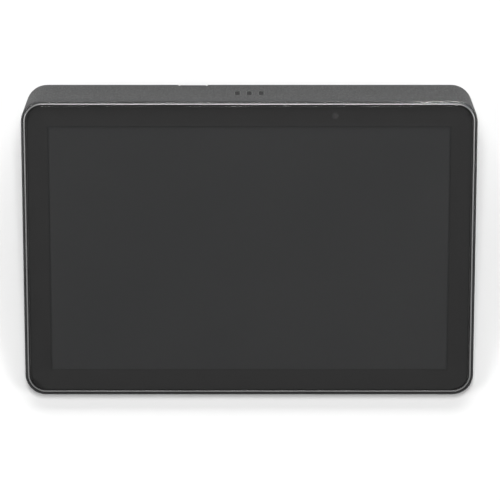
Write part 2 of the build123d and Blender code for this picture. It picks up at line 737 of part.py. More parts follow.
TONGUE_CHAMFER = 0.3

CLAMP_Y = 58.0
CLAMP_HALF_PITCH = 8.5
CLAMP_POINTS = [(EXIT_X + side * CLAMP_HALF_PITCH, CLAMP_Y) for side in SIDES]
CLAMP_BAR_TOP = 8.4
CLAMP_BAR_THICKNESS = 2.0
CLAMP_BAR_WIDTH = 7.0
CLAMP_BAR_END = 2.7          # how far the bar runs past its screws
CLAMP_BAR_CORNER = 2.5
GRIP_PLACES = (-2.0, 0.0, 2.0)
GRIP_LENGTH = 7.0
GRIP_WIDTH = 0.8
GRIP_DEPTH = 0.4
CLAMP_COLUMN_RADIUS = 2.8
CLAMP_INSERT_RADIUS = 1.9
CLAMP_SCREW_RADIUS = 1.15
CLAMP_BORE_RADIUS = 1.2
CLAMP_INSERT_LENGTH = 5.0
CLAMP_HOLE_DEPTH = 6.0
CLAMP_SCREW_PLAY = 0.2
CLAMP_SCREW_LENGTH = 5.6     # past its head
CLAMP_HEAD_RADIUS = 2.3
CLAMP_HEAD_HEIGHT = 1.2
SADDLE_BOTTOM = 13.4


def bay_columns():
    """Hanging columns for the door's and the clamp's inserts, and the cable saddle."""
    roof = BAY_CEILING + COLUMN_ROOT
    solid = block(
        CLAMP_BAR_WIDTH, CLAMP_BAR_WIDTH, roof - SADDLE_BOTTOM, EXIT_X, CLAMP_Y, SADDLE_BOTTOM
    )
    for x, y in DOOR_SCREWS.values():
        solid += post(DOOR_COLUMN_RADIUS, roof - DOOR_COLUMN_BOTTOM, x, y, DOOR_COLUMN_BOTTOM)
        solid -= post(DOOR_INSERT_RADIUS, DOOR_HOLE_DEPTH, x, y, DOOR_COLUMN_BOTTOM)
    for x, y in CLAMP_POINTS:
        solid += post(CLAMP_COLUMN_RADIUS, roof - CLAMP_BAR_TOP, x, y, CLAMP_BAR_TOP)
        solid -= post(CLAMP_INSERT_RADIUS, CLAMP_HOLE_DEPTH, x, y, CLAMP_BAR_TOP)
    return solid


def bay_door():
    """The cover of the cable bay, with cups for its captive screws, a scoop and a tongue."""
    overlap = DOOR_LEDGE - DOOR_GAP
    width = 2 * (BAY_HALF_WIDTH + overlap)
    length = BAY_BACK - BAY_FRONT + 2 * overlap
    door = rounded_block(width, length, DOOR_THICKNESS, DOOR_CORNER, y=BAY_MIDDLE, z=FOOT_HEIGHT)
    for shift in DOOR_RIBS:
        y = BAY_MIDDLE + shift
        door += block(DOOR_RIB_LENGTH, DOOR_RIB_WIDTH, DOOR_RIB_HEIGHT, DOOR_RIB_X, y, DOOR_INSIDE)
    for x, y in DOOR_SCREWS.values():
        door += post(DOOR_CUP_RADIUS + DOOR_CUP_WALL, DOOR_CUP_TOP - DOOR_INSIDE, x, y, DOOR_INSIDE)
        door -= post(DOOR_CUP_RADIUS, DOOR_CUP_FLOOR - FOOT_HEIGHT, x, y, FOOT_HEIGHT)
        door -= post(DOOR_SCREW_RADIUS + DOOR_SCREW_PLAY, DEEP, x, y)
    scoop_y = BAY_FRONT - DOOR_LEDGE + SCOOP_SHIFT
    door -= Pos(0, scoop_y, FOOT_HEIGHT) * Cylinder(SCOOP_RADIUS, DOOR_THICKNESS)
    return door + door_tongue(BAY_BACK + overlap)


def door_tongue(door_edge):
    """The strip that closes the cable channel from below, out to the back wall."""
    width = CHANNEL_WIDTH - 2 * DOOR_GAP
    start = door_edge - TONGUE_ROOT
    length = TONGUE_END - start
    height = TONGUE_TOP - TONGUE_BOTTOM
    tongue = rounded_block(width, length, height, TONGUE_CORNER, EXIT_X, start + length / 2, TONGUE_BOTTOM)
    tongue = chamfer(table_side(tongue).edges(), TONGUE_CHAMFER)
    root_bottom = TONGUE_BOTTOM + TONGUE_CHAMFER
    root_height = DOOR_INSIDE - root_bottom
    return tongue + block(width, TONGUE_ROOT, root_height, EXIT_X, start + TONGUE_ROOT / 2, root_bottom)


def door_screw(place):
    """A captive screw with a slot for a coin."""
    x, y = DOOR_SCREWS[place]
    bottom = FOOT_HEIGHT + DOOR_SCREW_SINK
    screw = post(DOOR_CUP_RADIUS - DOOR_HEAD_GAP, DOOR_HEAD_HEIGHT, x, y, bottom)
    screw = chamfer(table_side(screw).edges(), DOOR_HEAD_CHAMFER)
    screw += post(DOOR_SCREW_RADIUS, DOOR_SCREW_LENGTH, x, y, bottom + COIN_SLOT_DEPTH)
    return screw - block(COIN_SLOT_LENGTH, COIN_SLOT_WIDTH, COIN_SLOT_DEPTH, x, y, bottom)


def door_inserts():
    bottom = DOOR_COLUMN_BOTTOM + INSERT_SINK
    return group(
        ring(DOOR_INSERT_RADIUS - SLACK, DOOR_BORE_RADIUS, DOOR_INSERT_LENGTH, x, y, bottom)
        for x, y in DOOR_SCREWS.values()
    )


def clamp_bar():
    """The strap that grips the cable's jacket under the saddle."""
    bottom = CLAMP_BAR_TOP - CLAMP_BAR_THICKNESS
    height = CLAMP_BAR_THICKNESS - FILM_GAP
    length = 2 * (CLAMP_HALF_PITCH + CLAMP_BAR_END)
    bar = rounded_block(length, CLAMP_BAR_WIDTH, height, CLAMP_BAR_CORNER, EXIT_X, CLAMP_Y, bottom)
    groove_bottom = bottom + height - GRIP_DEPTH
    for shift in GRIP_PLACES:
        bar -= block(GRIP_LENGTH, GRIP_WIDTH, ABOVE, EXIT_X, CLAMP_Y + shift, groove_bottom)
    for x, y in CLAMP_POINTS:
        bar -= post(CLAMP_SCREW_RADIUS + CLAMP_SCREW_PLAY, DEEP, x, y)
    return bar


def clamp_screw(x, y):
    head_top = CLAMP_BAR_TOP - CLAMP_BAR_THICKNESS - FILM_GAP
    bottom = head_top - CLAMP_HEAD_HEIGHT
    head = post(CLAMP_HEAD_RADIUS, CLAMP_HEAD_HEIGHT, x, y, bottom)
    head -= Pos(x, y, bottom) * cross_recess(RECESS_SIZE, RECESS_DEPTH)
    return head + post(CLAMP_SCREW_RADIUS, CLAMP_SCREW_LENGTH + FILM_GAP + ROOT, x, y, head_top - ROOT)


def clamp_inserts():
    bottom = CLAMP_BAR_TOP + INSERT_SINK
    return group(
        ring(CLAMP_INSERT_RADIUS - SLACK, CLAMP_BORE_RADIUS, CLAMP_INSERT_LENGTH, x, y, bottom)
        for x, y in CLAMP_POINTS
    )


# ---------------------------------------------------------------- mainboard
ETHERNET_X = 24.0
USB_X = -4.0
USB_Z = BOARD_TOP + 1.6
USB_WIDTH = 8.9
USB_HEIGHT = 3.2
USB_SIDE_GAP = 0.25          # between the socket and its opening in the bay's wall
USB_TOP_GAP = 0.2
USB_OPENING_RADIUS = 1.7
RESET_X = -22.0
RESET_Z = BOARD_TOP + 1.8
RESET_HOLE_RADIUS = 1.4
RESET_RADIUS = 1.0

BOARD_CORNER = 2.0
BOARD_HOLE_RADIUS = 1.5
BOARD_HEAD_RADIUS = 2.4
BOARD_HEAD_HEIGHT = 1.4
BOARD_RECESS_DEPTH = 0.65
BOARD_SCREW_RADIUS = STANDOFF_HOLE_RADIUS - FILM_GAP
BOARD_SCREW_LENGTH = 3.9

CHIP_HEIGHT = 1.0
PROCESSOR_X, PROCESSOR_Y = -20.0, -12.0
PROCESSOR_SIZE = 15.0
MEMORY_OFFSET = 14.0
MEMORY_WIDTH, MEMORY_LENGTH = 8.0, 12.0
SHIELD_WIDTH, SHIELD_LENGTH = 40.0, 32.0
SHIELD_TOP = BOARD_TOP + 2.6
SHIELD_SKIN = 0.3
SHIELD_RADIUS = 1.0
LOWER_PAD_SIZE = 14.0
UPPER_PAD_WIDTH, UPPER_PAD_LENGTH = 30.0, 24.0
PAD_THICKNESS = 0.5
SINK_WIDTH, SINK_LENGTH = 46.0, 34.0
SINK_BASE = 1.0
FIN_COUNT = 9
FIN_PITCH = 4.0
FIN_HEIGHT = 1.6
FIN_THICKNESS = 1.0
FIN_INSET = 1.0
SMALL_CHIPS = (               # x, y, size along x, size along y
    (14.0, -14.0, 11.0, 13.0),
    (50.0, -26.0, 6.0, 6.0),
    (34.0, -28.0, 5.0, 5.0),
    (-58.0, -26.0, 7.0, 7.0),
    (16.0, -30.0, 4.0, 6.0),
    (-2.0, 12.0, 9.0, 9.0),
)
INDUCTOR_PLACES = (32.0, 42.0, 52.0)
INDUCTOR_SIZE = 6.6
INDUCTOR_HEIGHT = 3.4
INDUCTOR_RADIUS = 1.0
CAPACITOR_X = 40.0
CAPACITOR_PLACES = (3.5, 14.0)
CAPACITOR_RADIUS = 4.0
CAPACITOR_HEIGHT = 11.0
CRIMP_BOTTOM = 1.6           # the groove's height above the board
CRIMP_WIDTH = 0.8
CRIMP_DEPTH = 0.3
TRANSFORMER_X, TRANSFORMER_Y = 54.0, 8.0
CORE_WIDTH, CORE_LENGTH = 15.0, 13.0
CORE_PLATE = 3.0
CORE_POST = 5.0
WINDING_WIDTH, WINDING_LENGTH = 14.0, 11.0
WINDING_HEIGHT = 4.5
FILTER_WIDTH, FILTER_LENGTH, FILTER_HEIGHT = 14.0, 9.5, 5.2
FILTER_RADIUS = 0.5
FILTER_Y = 4.5


def port_cutouts():
    """Openings in the bay's front wall for the sockets and the reset plunger."""
    through = BAY_WALL + ABOVE
    wall_y = BAY_FRONT - BAY_WALL / 2
    width = JACK_WIDTH + 2 * JACK_SIDE_GAP
    height = JACK_BOTTOM_GAP + JACK_HEIGHT + JACK_TOP_GAP
    socket = block(width, through, height, ETHERNET_X, wall_y, BOARD_TOP - JACK_BOTTOM_GAP)
    usb_outline = RectangleRounded(
        USB_WIDTH + 2 * USB_SIDE_GAP, USB_HEIGHT + 2 * USB_TOP_GAP, USB_OPENING_RADIUS
    )
    usb = Pos(USB_X, wall_y - through / 2, USB_Z) * along_y(extrude(usb_outline, through))
    reset = Pos(RESET_X, wall_y, RESET_Z) * along_y(Cylinder(RESET_HOLE_RADIUS, through))
    return socket + usb + reset


def mainboard():
    width, length = BOARD_RIGHT - BOARD_LEFT, BOARD_BACK - BOARD_FRONT
    x, y = (BOARD_RIGHT + BOARD_LEFT) / 2, (BOARD_BACK + BOARD_FRONT) / 2
    board = rounded_block(width, length, BOARD_TOP - BOARD_BOTTOM, BOARD_CORNER, x, y, BOARD_BOTTOM)
    for hole_x, hole_y in BOARD_HOLES:
        board -= post(BOARD_HOLE_RADIUS, DEEP, hole_x, hole_y)
    return board


def board_screws():
    screw = post(BOARD_HEAD_RADIUS, BOARD_HEAD_HEIGHT)
    screw -= Pos(0, 0, BOARD_HEAD_HEIGHT - BOARD_RECESS_DEPTH) * cross_recess(RECESS_SIZE, RECESS_DEPTH)
    screw += post(BOARD_SCREW_RADIUS, BOARD_SCREW_LENGTH + ROOT, z=-BOARD_SCREW_LENGTH)
    return group(Pos(x, y, BOARD_TOP) * screw for x, y in BOARD_HOLES)


def processor():
    return block(PROCESSOR_SIZE, PROCESSOR_SIZE, CHIP_HEIGHT, PROCESSOR_X, PROCESSOR_Y, BOARD_TOP)


def memory_chips():
    return group(
        block(MEMORY_WIDTH, MEMORY_LENGTH, CHIP_HEIGHT, x, PROCESSOR_Y, BOARD_TOP)
        for x in (PROCESSOR_X - MEMORY_OFFSET, PROCESSOR_X + MEMORY_OFFSET)
    )


def processor_shield():
    """A pressed can over the processor and its memory."""
    height = SHIELD_TOP - BOARD_TOP
    can = rounded_block(SHIELD_WIDTH, SHIELD_LENGTH, height, SHIELD_RADIUS)
    can -= block(SHIELD_WIDTH - 2 * SHIELD_SKIN, SHIELD_LENGTH - 2 * SHIELD_SKIN, height - SHIELD_SKIN)
    return Pos(PROCESSOR_X, PROCESSOR_Y, BOARD_TOP) * can


def thermal_pads():
    """One between the processor and the can, one between the can and the heat sink."""
    chip_top = BOARD_TOP + CHIP_HEIGHT
    lower = block(LOWER_PAD_SIZE, LOWER_PAD_SIZE, SHIELD_TOP - SHIELD_SKIN - chip_top, z=chip_top)
    upper = block(UPPER_PAD_WIDTH, UPPER_PAD_LENGTH, PAD_THICKNESS, z=SHIELD_TOP)
    return group(Pos(PROCESSOR_X, PROCESSOR_Y, 0) * pad for pad in (lower, upper))


def heat_sink():
    bottom = SHIELD_TOP + PAD_THICKNESS
    sink = block(SINK_WIDTH, SINK_LENGTH, SINK_BASE, PROCESSOR_X, PROCESSOR_Y, bottom)
    for i in range(FIN_COUNT):
        y = PROCESSOR_Y + (i - (FIN_COUNT - 1) / 2) * FIN_PITCH
        width = SINK_WIDTH - 2 * FIN_INSET
        sink += block(width, FIN_THICKNESS, SINK_BASE + FIN_HEIGHT, PROCESSOR_X, y, bottom)
    return sink


def small_chips():
    """Flash memory, power control, network and touch chips."""
    return group(block(w, l, CHIP_HEIGHT, x, y, BOARD_TOP) for x, y, w, l in SMALL_CHIPS)


def power_inductors():
    coil = rounded_block(INDUCTOR_SIZE, INDUCTOR_SIZE, INDUCTOR_HEIGHT, INDUCTOR_RADIUS)
    return group(Pos(x, PROCESSOR_Y, BOARD_TOP) * coil for x in INDUCTOR_PLACES)


def capacitors():
    """Two cans, each with the groove that crimps it to its bung."""
    can = post(CAPACITOR_RADIUS, CAPACITOR_HEIGHT)
    inner = CAPACITOR_RADIUS - CRIMP_DEPTH
    can -= ring(CAPACITOR_RADIUS + ABOVE, inner, CRIMP_WIDTH, z=CRIMP_BOTTOM)
    return group(Pos(CAPACITOR_X, y, BOARD_TOP) * can for y in CAPACITOR_PLACES)


def supply_transformer():
    """The power-over-network transformer: a winding between two ferrite plates."""
    core = block(CORE_POST, CORE_LENGTH, 2 * CORE_PLATE + WINDING_HEIGHT)
    for bottom in (0, CORE_PLATE + WINDING_HEIGHT):
        core += block(CORE_WIDTH, CORE_LENGTH, CORE_PLATE, z=bottom)
    winding = block(WINDING_WIDTH, WINDING_LENGTH, WINDING_HEIGHT, z=CORE_PLATE)
    winding -= block(CORE_POST, DEEP, DEEP)
    place = Pos(TRANSFORMER_X, TRANSFORMER_Y, BOARD_TOP)
    return group([place * core, place * winding])


def network_transformer():
    body = rounded_block(FILTER_WIDTH, FILTER_LENGTH, FILTER_HEIGHT, FILTER_RADIUS)
    return Pos(ETHERNET_X, FILTER_Y, BOARD_TOP) * body


JACK_WIDTH = 15.8
JACK_LENGTH = 18.0
JACK_HEIGHT = 13.2
JACK_SIDE_GAP = 0.3          # between the socket and its opening in the bay's wall
JACK_TOP_GAP = 0.2
JACK_BOTTOM_GAP = 0.1
PLUG_DEPTH = 14.0
PLUG_STEPS = ((11.9, 4.2, 11.1), (6.2, 2.9, 11.1), (3.2, 1.9, 11.1))   # width, bottom, top
CONTACT_COUNT = 8
CONTACT_PITCH = 1.02
CONTACT_WIDTH = 0.45
CONTACT_THICKNESS = 0.3
CONTACT_POINTS = ((19.0, 18.45), (24.0, 17.5), (27.6, 18.4))   # y and z

USB_LENGTH = 7.3
USB_SKIN = 0.3
USB_TONGUE_WIDTH, USB_TONGUE_LENGTH, USB_TONGUE_THICKNESS = 6.6, 5.2, 0.7
USB_TONGUE_SETBACK = 1.65

SWITCH_FACE_Y = 25.0
SWITCH_WIDTH, SWITCH_LENGTH, SWITCH_HEIGHT = 6.0, 4.0, 3.4
SWITCH_BORE_DEPTH = 1.2
PLUNGER_LENGTH = 4.6
PLUNGER_INSERTED = 0.6       # how deep the plunger sits in its bore at rest

CONNECTOR_Y = BOARD_FRONT + 3.8
CONNECTOR_END = 1.5          # how much wider than its flex a connector is, on each side
CONNECTOR_LENGTH = 4.4
CONNECTOR_HEIGHT = 1.4


def ethernet_jack():
    """The network socket, with the stepped opening for the plug and its latch."""
    jack = block(JACK_WIDTH, JACK_LENGTH, JACK_HEIGHT, ETHERNET_X, BAY_FRONT - JACK_LENGTH / 2, BOARD_TOP)
    for width, bottom, top in PLUG_STEPS:
        jack -= block(
            width, PLUG_DEPTH, top - bottom, ETHERNET_X, BAY_FRONT - PLUG_DEPTH / 2, BOARD_TOP + bottom
        )
    return jack


def ethernet_contacts():
    """Eight sprung wires along the roof of the socket."""
    first = ETHERNET_X - (CONTACT_COUNT - 1) / 2 * CONTACT_PITCH
    return group(
        ribbon(CONTACT_POINTS, CONTACT_WIDTH, CONTACT_THICKNESS, first + i * CONTACT_PITCH)
        for i in range(CONTACT_COUNT)
    )


def usb_shell():
    outer = SlotOverall(USB_WIDTH, USB_HEIGHT)
    inner = SlotOverall(USB_WIDTH - 2 * USB_SKIN, USB_HEIGHT - 2 * USB_SKIN)
    shell = extrude(outer - inner, USB_LENGTH) + extrude(outer, USB_SKIN)
    return Pos(USB_X, BAY_FRONT - USB_LENGTH, USB_Z) * along_y(shell)


def usb_tongue():
    y = BAY_FRONT - USB_TONGUE_SETBACK - USB_TONGUE_LENGTH / 2
    bottom = USB_Z - USB_TONGUE_THICKNESS / 2
    return block(USB_TONGUE_WIDTH, USB_TONGUE_LENGTH, USB_TONGUE_THICKNESS, USB_X, y, bottom)


def reset_switch():
    """The switch's body, with a bore for its plunger."""
    middle = SWITCH_FACE_Y - SWITCH_LENGTH / 2
    body = block(SWITCH_WIDTH, SWITCH_LENGTH, SWITCH_HEIGHT, RESET_X, middle, BOARD_TOP)
    bore = along_y(Cylinder(RESET_RADIUS + 3 * SLACK, 2 * SWITCH_BORE_DEPTH))
    return body - Pos(RESET_X, SWITCH_FACE_Y, RESET_Z) * bore


def reset_plunger():
    stem = along_y(post(RESET_RADIUS, PLUNGER_LENGTH))
    return Pos(RESET_X, SWITCH_FACE_Y - PLUNGER_INSERTED, RESET_Z) * stem


def flex_connectors():
    """Sockets for the two flat cables."""
    flexes = ((DISPLAY_FLEX_X, DISPLAY_FLEX_WIDTH), (TOUCH_FLEX_X, TOUCH_FLEX_WIDTH))
    return group(
        block(width + 2 * CONNECTOR_END, CONNECTOR_LENGTH, CONNECTOR_HEIGHT, x, CONNECTOR_Y, BOARD_TOP)
        for x, width in flexes
    )


# ---------------------------------------------------------------- radio
RADIO_X, RADIO_Y = -60.0, -2.0
RADIO_WIDTH, RADIO_LENGTH = 22.0, 16.0
RADIO_THICKNESS = 0.8
RADIO_CAN_WIDTH, RADIO_CAN_LENGTH, RADIO_CAN_HEIGHT = 15.0, 13.0, 1.6
RADIO_CAN_X = RADIO_X + 3.0
PLUG_X = RADIO_X - 7.8
PLUG_Y = {-1: -6.0, 1: 2.5}
PLUG_RADIUS = 1.3
PLUG_HEIGHT = 1.5
COAX_START_Z = BOARD_TOP + 1.7
COAX_RADIUS = 0.55
ANTENNA_U = 84.0
ANTENNA_N = -17.0
ANTENNA_LENGTH, ANTENNA_WIDTH = 36.0, 9.0
ANTENNA_THICKNESS = 0.25
LEFT_ROUTE = [
    (-78.0, 2.0, 12.0),
    (-83.0, 20.0, 17.5),
    (-85.0, 42.0, 24.0),
    (-84.0, 62.0, 28.4),
]
RIGHT_ROUTE = [
    (-60.0, 13.0, 13.5),
    (-40.0, 20.0, 19.0),
    (-8.0, 23.5, 23.6),
    (26.0, 25.0, 25.2),
    (56.0, 34.0, 26.4),
    (77.0, 53.0, 28.0),
]


def radio_module():
    card = block(RADIO_WIDTH, RADIO_LENGTH, RADIO_THICKNESS, RADIO_X, RADIO_Y, BOARD_TOP)
    card_top = BOARD_TOP + RADIO_THICKNESS
    can = block(RADIO_CAN_WIDTH, RADIO_CAN_LENGTH, RADIO_CAN_HEIGHT, RADIO_CAN_X, RADIO_Y, card_top)
    return group([card, can])


def antenna_plugs():
    """Two snap-on plugs on the edge of the radio card."""
    bottom = BOARD_TOP + RADIO_THICKNESS
    return group(post(PLUG_RADIUS, PLUG_HEIGHT, PLUG_X, y, bottom) for y in PLUG_Y.values())


def antennas():
    """Two flexible aerials on the inside of the back wall."""
    v = BACK_WALL_V - FILM_GAP - ANTENNA_THICKNESS / 2
    film = Box(ANTENNA_LENGTH, ANTENNA_THICKNESS, ANTENNA_WIDTH)
    return group(on_face(film, side * ANTENNA_U, v, ANTENNA_N) for side in SIDES)


def antenna_cable(side, route):
    """A thin coaxial lead from its plug on the radio card to one aerial."""
    plug = Vector(PLUG_X, PLUG_Y[side], COAX_START_Z)
    start = plug + (Vector(*route[0]) - plug).normalized() * (PLUG_RADIUS + SLACK)
    end_v = BACK_WALL_V - FILM_GAP - ANTENNA_THICKNESS - COAX_RADIUS
    end = (side * ANTENNA_U, *face_point(end_v, ANTENNA_N))
    return round_cable([tuple(start), *route, end], COAX_RADIUS)


# ---------------------------------------------------------------- every node
NODES = {
    "cover_glass": cover_glass(),
    "border_print": border_print(),
    "glass_gasket": glass_gasket(),
    "glass_tape": glass_tape(),
    "touch_panel": touch_panel(),
    "touch_flex": touch_flex(),
    "lcd_cell": lcd_cell(),
    "light_guide": light_guide(),
    "backlight_tray": backlight_tray(),
    "display_foam": display_foam(),
    "driver_board": driver_board(),
    "display_flex": display_flex(),
    "bezel_frame": bezel_frame(),
    "light_sensor_lens": light_sensor_lens(),
    "light_sensor_board": light_sensor_board(),
    "wedge_housing": wedge_housing(),
    "rear_mark": rear_mark(),
    "mid_chassis": mid_chassis(),
    "display_screws": display_screws(),
    "lock_plate": lock_plate(),
    "base_plate": base_plate(),
    "base_screws": base_screws(),
    "foot_strips": foot_strips(),
    "mount_inserts": mount_inserts(),
    "bay_door": bay_door(),
    "door_screw_left": door_screw("left"),
    "door_screw_right": door_screw("right"),
    "door_inserts": door_inserts(),
    "clamp_bar": clamp_bar(),
    "clamp_screw_left": clamp_screw(*CLAMP_POINTS[0]),
    "clamp_screw_right": clamp_screw(*CLAMP_POINTS[1]),
    "clamp_inserts": clamp_inserts(),
    "mainboard": mainboard(),
    "board_screws": board_screws(),
    "processor": processor(),
    "memory_chips": memory_chips(),
    "processor_shield": processor_shield(),
    "thermal_pads": thermal_pads(),
    "heat_sink": heat_sink(),
    "small_chips": small_chips(),
    "power_inductors": power_inductors(),
    "capacitors": capacitors(),
    "supply_transformer": supply_transformer(),
    "network_transformer": network_transformer(),
    "ethernet_jack": ethernet_jack(),
    "ethernet_contacts": ethernet_contacts(),
    "usb_shell": usb_shell(),
    "usb_tongue": usb_tongue(),
    "reset_switch": reset_switch(),
    "reset_plunger": reset_plunger(),
    "flex_connectors": flex_connectors(),
    "radio_module": radio_module(),
    "antennas": antennas(),
    "antenna_plugs": antenna_plugs(),
    "antenna_cable_left": antenna_cable(-1, LEFT_ROUTE),
    "antenna_cable_right": antenna_cable(1, RIGHT_ROUTE),
}

os.makedirs("parts", exist_ok=True)
for name, shape in NODES.items():
    export_step(shape, f"parts/{name}.step")
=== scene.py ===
import json
from math import radians

import bpy
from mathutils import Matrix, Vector


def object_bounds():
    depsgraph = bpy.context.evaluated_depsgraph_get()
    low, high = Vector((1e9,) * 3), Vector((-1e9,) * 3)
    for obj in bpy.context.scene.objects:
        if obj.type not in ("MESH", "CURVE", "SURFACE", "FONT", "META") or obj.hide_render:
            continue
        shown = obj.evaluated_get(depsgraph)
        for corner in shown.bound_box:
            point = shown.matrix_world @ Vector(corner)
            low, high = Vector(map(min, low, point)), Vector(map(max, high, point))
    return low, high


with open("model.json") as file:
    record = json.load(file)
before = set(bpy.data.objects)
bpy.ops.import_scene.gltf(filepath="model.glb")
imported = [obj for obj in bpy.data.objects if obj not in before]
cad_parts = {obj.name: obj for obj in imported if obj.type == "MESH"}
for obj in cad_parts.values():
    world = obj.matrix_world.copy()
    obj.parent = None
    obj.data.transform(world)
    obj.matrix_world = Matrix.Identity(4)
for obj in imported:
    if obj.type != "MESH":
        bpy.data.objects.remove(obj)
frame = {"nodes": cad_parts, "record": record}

CAD_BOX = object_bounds()
RECORD = frame["record"]
NODES = frame["nodes"]
MM = 0.001

# ---------------------------------------------------------------- studio, in metres and watts
CAMERA_PLACE = (0.4 * MM, -5.85 * MM, 1679.5 * MM)
FOCAL_LENGTH = 218.9            # in millimetres, like the sensor
SENSOR = 36.0
NEAREST, FARTHEST = 0.01, 50.0

FLOOR_SIZE = 9.0
FLOOR_TONE = 0.643
FLOOR_MOTTLE = 0.995            # the darkest of the floor's tone, as a share of it
FLOOR_PATCH_INSET = 3.0 * MM    # the floor's patch under the device stops short of its outline

BELOW_LEVEL = 0.8               # the room's levels, which reflections and shadows see
HORIZON_LEVEL = 0.75
LOW_SKY_LEVEL = HORIZON_LEVEL * 0.8
CEILING_LEVEL = 0.12            # dark, because the screen mirrors it
DOWN, HORIZON, LOW_SKY, CEILING = 0.0, 0.5, 0.58, 0.78   # heights, from straight down to straight up
FRONT_SHARE, BACK_SHARE = 0.1, 0.8   # the room is brighter behind the device
BACKDROP_LEVEL = 0.985          # what the camera sees past the floor

BODY_MIDDLE = (0.0, 0.0, 0.02)
UNDERSIDE = (0.0, 0.0, 0.0)
BACK_EDGE = (0.0, 0.07, 0.04)
BACK_WALL_LEFT = (-0.12, 0.075, 0.03)
RIM_MIDDLE = (0.0, 0.12, 0.044)      # past the rim, so that the light fades towards the front
RIM_RIGHT = (0.105, 0.085, 0.044)
SIDE_BOX_X, SIDE_BOX_Y, SIDE_BOX_HEIGHT = 1.2, -0.2, 0.95
RIM_LIGHT_Y, RIM_LIGHT_HEIGHT = -0.37, 1.16   # in front, where the back wall gets none of it


def add_camera():
    """Straight above the screen's middle, with the tall back edge at the top of the picture."""
    data = bpy.data.cameras.new("camera")
    data.lens = FOCAL_LENGTH
    data.sensor_width = SENSOR
    data.clip_start = NEAREST
    data.clip_end = FARTHEST
    camera = bpy.data.objects.new("camera", data)
    camera.location = CAMERA_PLACE
    bpy.context.scene.collection.objects.link(camera)
    bpy.context.scene.camera = camera


def add_light(name, place, target, size, power, spread=180.0):
    """A rectangular softbox that faces its target. The camera doesn't see it."""
    data = bpy.data.lights.new(name, "AREA")
    data.shape = "RECTANGLE"
    data.size, data.size_y = size
    data.energy = power
    data.spread = radians(spread)
    light = bpy.data.objects.new(name, data)
    light.location = place
    light.rotation_euler = (Vector(target) - Vector(place)).to_track_quat("-Z", "Y").to_euler()
    light.visible_camera = False
    bpy.context.scene.collection.objects.link(light)
    return light


def light_only(light, names):
    """Keeps a light to the named nodes."""
    receivers = bpy.data.collections.new(light.name + "_receivers")
    for name in names:
        receivers.objects.link(NODES[name])
    light.light_linking.receiver_collection = receivers


def add_softboxes():
    """The large lights. Nothing mirrors the overhead one, so the screen stays dark in front views."""
    overhead = add_light(
        "overhead", place=(0.0, 0.7, 2.25), target=BODY_MIDDLE, size=(0.7, 0.8), power=36.0
    )
    overhead.visible_glossy = False
    add_light("back_strip", place=(0.0, 1.8, 1.05), target=BACK_EDGE, size=(2.2, 0.8), power=48.0)
    for name, side in (("left_box", -1), ("right_box", 1)):
        place = (side * SIDE_BOX_X, SIDE_BOX_Y, SIDE_BOX_HEIGHT)
        add_light(name, place=place, target=BODY_MIDDLE, size=(0.6, 0.6), power=12.5)


def add_accents():
    """Lights for the back wall's left, the rim above it and the frame, which reach nothing else."""
    left = add_light(
        "left_lamp", place=(-0.4, 0.4, 0.3), target=BACK_WALL_LEFT, size=(0.06, 0.06), power=0.014,
        spread=24.0
    )
    rim_end = add_light(
        "lip_lamp", place=(RIM_RIGHT[0], RIM_LIGHT_Y, RIM_LIGHT_HEIGHT), target=RIM_RIGHT,
        size=(0.05, 0.05), power=0.09, spread=6.0
    )
    rim = add_light(
        "rim_lamp", place=(0.0, RIM_LIGHT_Y, RIM_LIGHT_HEIGHT), target=RIM_MIDDLE,
        size=(0.3, 0.05), power=0.2, spread=12.0
    )
    glint = add_light("glint", place=(0.0, 0.5, 2.3), target=BODY_MIDDLE, size=(0.6, 0.6), power=38.0)
    for lamp in (left, rim_end, rim):
        light_only(lamp, ["wedge_housing"])
    light_only(glint, ["wedge_housing", "bezel_frame"])


def add_under_fill():
    """A fill for views of the underside."""
    add_light("under_fill", place=(0.5, -0.7, -1.1), target=UNDERSIDE, size=(0.9, 0.9), power=14.0)


# ---------------------------------------------------------------- node helpers
NOISE_LOW, NOISE_HIGH = 0.3, 0.7           # most of a noise's values lie between these
COLOUR_A, COLOUR_B, COLOUR_OUT = 6, 7, 2   # a Mix node's sockets for colours
FLAT, SHARP = 0.995, 0.8                   # cosines of the angle that a bevel turns the normal by
EDGE_MM = 0.8
METAL_EDGE_MM = 0.25


def grey(level, tint=0.0):
    """A neutral colour, a little bluer as tint rises."""
    return (level * (1 - tint), level, level * (1 + tint))


def scaled(colour, factor):
    """A lighter or darker colour."""
    return tuple(min(1.0, part * factor) for part in colour)


class Nodes:
    """Short calls for the nodes that the room and the finishes share."""

    def __init__(self, tree):
        self.tree = tree

    def node(self, kind, **settings):
        made = self.tree.nodes.new(kind)
        for key, value in settings.items():
            setattr(made, key, value)
        return made

    def feed(self, socket, value):
        """Links a socket, or sets it when the value is plain. A plain colour is made opaque."""
        if isinstance(value, bpy.types.NodeSocket):
            self.tree.links.new(value, socket)
        elif isinstance(value, tuple):
            socket.default_value = (*value, 1.0)
        else:
            socket.default_value = value

    def remap(self, value, low, high, to_low=0.0, to_high=1.0):
        made = self.node("ShaderNodeMapRange")
        self.feed(made.inputs["Value"], value)
        for key, number in zip(("From Min", "From Max", "To Min", "To Max"), (low, high, to_low, to_high)):
            made.inputs[key].default_value = number
        return made.outputs[0]

    def vary(self, noise, to_low=0.0, to_high=1.0):
        """Stretches a noise's usual values to the given range."""
        return self.remap(noise, NOISE_LOW, NOISE_HIGH, to_low, to_high)

    def maths(self, operation, first, second):
        made = self.node("ShaderNodeMath", operation=operation)
        self.feed(made.inputs[0], first)
        self.feed(made.inputs[1], second)
        return made.outputs[0]

    def times(self, first, second):
        return self.maths("MULTIPLY", first, second)

    def mix_shaders(self, share, first, second):
        mix = self.node("ShaderNodeMixShader")
        for socket, value in zip(mix.inputs, (share, first, second)):
            self.feed(socket, value)
        return mix.outputs[0]


